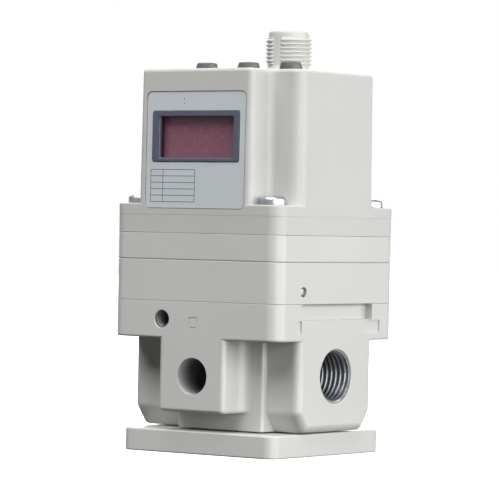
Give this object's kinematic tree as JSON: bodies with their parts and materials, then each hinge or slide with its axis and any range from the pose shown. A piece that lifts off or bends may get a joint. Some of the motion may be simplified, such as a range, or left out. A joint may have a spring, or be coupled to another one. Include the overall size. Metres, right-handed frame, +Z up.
{
  "type": "electro pneumatic regulator",
  "caption": "Square stacked air pressure regulator with side pipe ports, a front exhaust port, solenoid pilot valves, a digit display, push buttons and a round plug connector on its roof",
  "frame": {"origin": "the middle of the base plate's underside", "axes": "+Z is up along the stack from the base plate to the plug connector, the display and the exhaust port face -Y, and the two threaded ports open towards +X and -X"},
  "size_m": [0.0504, 0.0504, 0.1041],
  "materials": {
    "light_grey_paint": "smooth light grey paint on die-cast aluminium",
    "light_grey_plastic": "moulded light grey plastic, fine matte",
    "dark_grey_plastic": "moulded dark grey plastic, satin",
    "black_plastic": "moulded black plastic",
    "slate_film": "slate blue frame, semi gloss",
    "red_acrylic": "dark red tinted clear plastic",
    "label_film": "printed blue grey film",
    "black_rubber": "moulded nitrile rubber",
    "turned_brass": "turned brass",
    "turned_aluminium": "turned aluminium",
    "zinc_steel": "zinc plated steel",
    "stainless_steel": "drawn stainless steel",
    "gold_plate": "gold plated brass pins",
    "green_board": "glass fibre board with green solder mask",
    "cream_plastic": "moulded cream plastic"
  },
  "bodies": {
    "housing": {"base_plate": "light_grey_paint", "body": "light_grey_paint", "diaphragm_block": "light_grey_paint", "pilot_block": "light_grey_paint", "sub_cover": "light_grey_plastic", "cover": "light_grey_plastic", "connector_shell": "light_grey_plastic", "connector_insert": "cream_plastic", "connector_pin_1": "gold_plate", "connector_pin_2": "gold_plate", "connector_pin_3": "gold_plate", "connector_pin_4": "gold_plate", "label": "label_film", "display_bezel": "slate_film", "display_window": "red_acrylic", "display_module": "black_plastic", "display_board": "green_board", "key_board": "green_board", "control_board": "green_board", "down_switch": "black_plastic", "up_switch": "black_plastic", "set_switch": "black_plastic", "supply_solenoid": "black_plastic", "exhaust_solenoid": "black_plastic", "supply_armature_spring": "stainless_steel", "exhaust_armature_spring": "stainless_steel", "pressure_sensor": "black_plastic", "sensor_seal": "black_rubber", "pilot_seal": "black_rubber", "valve_guide": "turned_brass", "valve_guide_seal": "black_rubber", "valve_spring": "stainless_steel", "diaphragm": "black_rubber", "cover_screw_front_left": "zinc_steel", "cover_screw_front_right": "zinc_steel", "cover_screw_back_left": "zinc_steel", "cover_screw_back_right": "zinc_steel", "base_screw_front_left": "zinc_steel", "base_screw_front_right": "zinc_steel", "base_screw_back_left": "zinc_steel", "base_screw_back_right": "zinc_steel", "passage_plug": "zinc_steel"},
    "diaphragm_group": {"diaphragm_rod": "turned_aluminium", "diaphragm_plate": "turned_aluminium", "diaphragm_nut": "zinc_steel", "rod_lower_seal": "black_rubber", "rod_upper_seal": "black_rubber"},
    "valve_group": {"supply_valve": "turned_brass", "supply_valve_facing": "black_rubber"},
    "supply_armature_body": {"supply_armature": "stainless_steel"},
    "exhaust_armature_body": {"exhaust_armature": "stainless_steel"},
    "down_key": {"down_button": "dark_grey_plastic"},
    "up_key": {"up_button": "dark_grey_plastic"},
    "set_key": {"set_button": "dark_grey_plastic"}
  },
  "joints": [
    {"name": "diaphragm_stroke", "type": "slide", "parent": "housing", "child": "diaphragm_group", "axis": [0, 0, 1], "range_m": [-0.001, 0], "stiffness_N_per_m": 1000, "springref_m": 0.0005, "deforming": ["diaphragm"]},
    {"name": "supply_valve_lift", "type": "slide", "parent": "housing", "child": "valve_group", "axis": [0, 0, 1], "range_m": [-0.0005, 0], "stiffness_N_per_m": 1000, "springref_m": 0.001, "deforming": ["valve_spring"]},
    {"name": "supply_armature_lift", "type": "slide", "parent": "housing", "child": "supply_armature_body", "axis": [0, 0, 1], "range_m": [0, 0.0004], "stiffness_N_per_m": 400, "springref_m": -0.001, "deforming": ["supply_armature_spring"]},
    {"name": "exhaust_armature_lift", "type": "slide", "parent": "housing", "child": "exhaust_armature_body", "axis": [0, 0, 1], "range_m": [0, 0.0004], "stiffness_N_per_m": 400, "springref_m": -0.001, "deforming": ["exhaust_armature_spring"]},
    {"name": "down_press", "type": "slide", "parent": "housing", "child": "down_key", "axis": [0, 0, -1], "range_m": [0, 0.0005], "stiffness_N_per_m": 800, "springref_m": -0.0005},
    {"name": "up_press", "type": "slide", "parent": "housing", "child": "up_key", "axis": [0, 0, -1], "range_m": [0, 0.0005], "stiffness_N_per_m": 800, "springref_m": -0.0005},
    {"name": "set_press", "type": "slide", "parent": "housing", "child": "set_key", "axis": [0, 0, -1], "range_m": [0, 0.0005], "stiffness_N_per_m": 800, "springref_m": -0.0005}
  ],
  "couplings": [
    {"joint": "supply_valve_lift", "follows": "diaphragm_stroke", "ratio": 0.5}
  ]
}
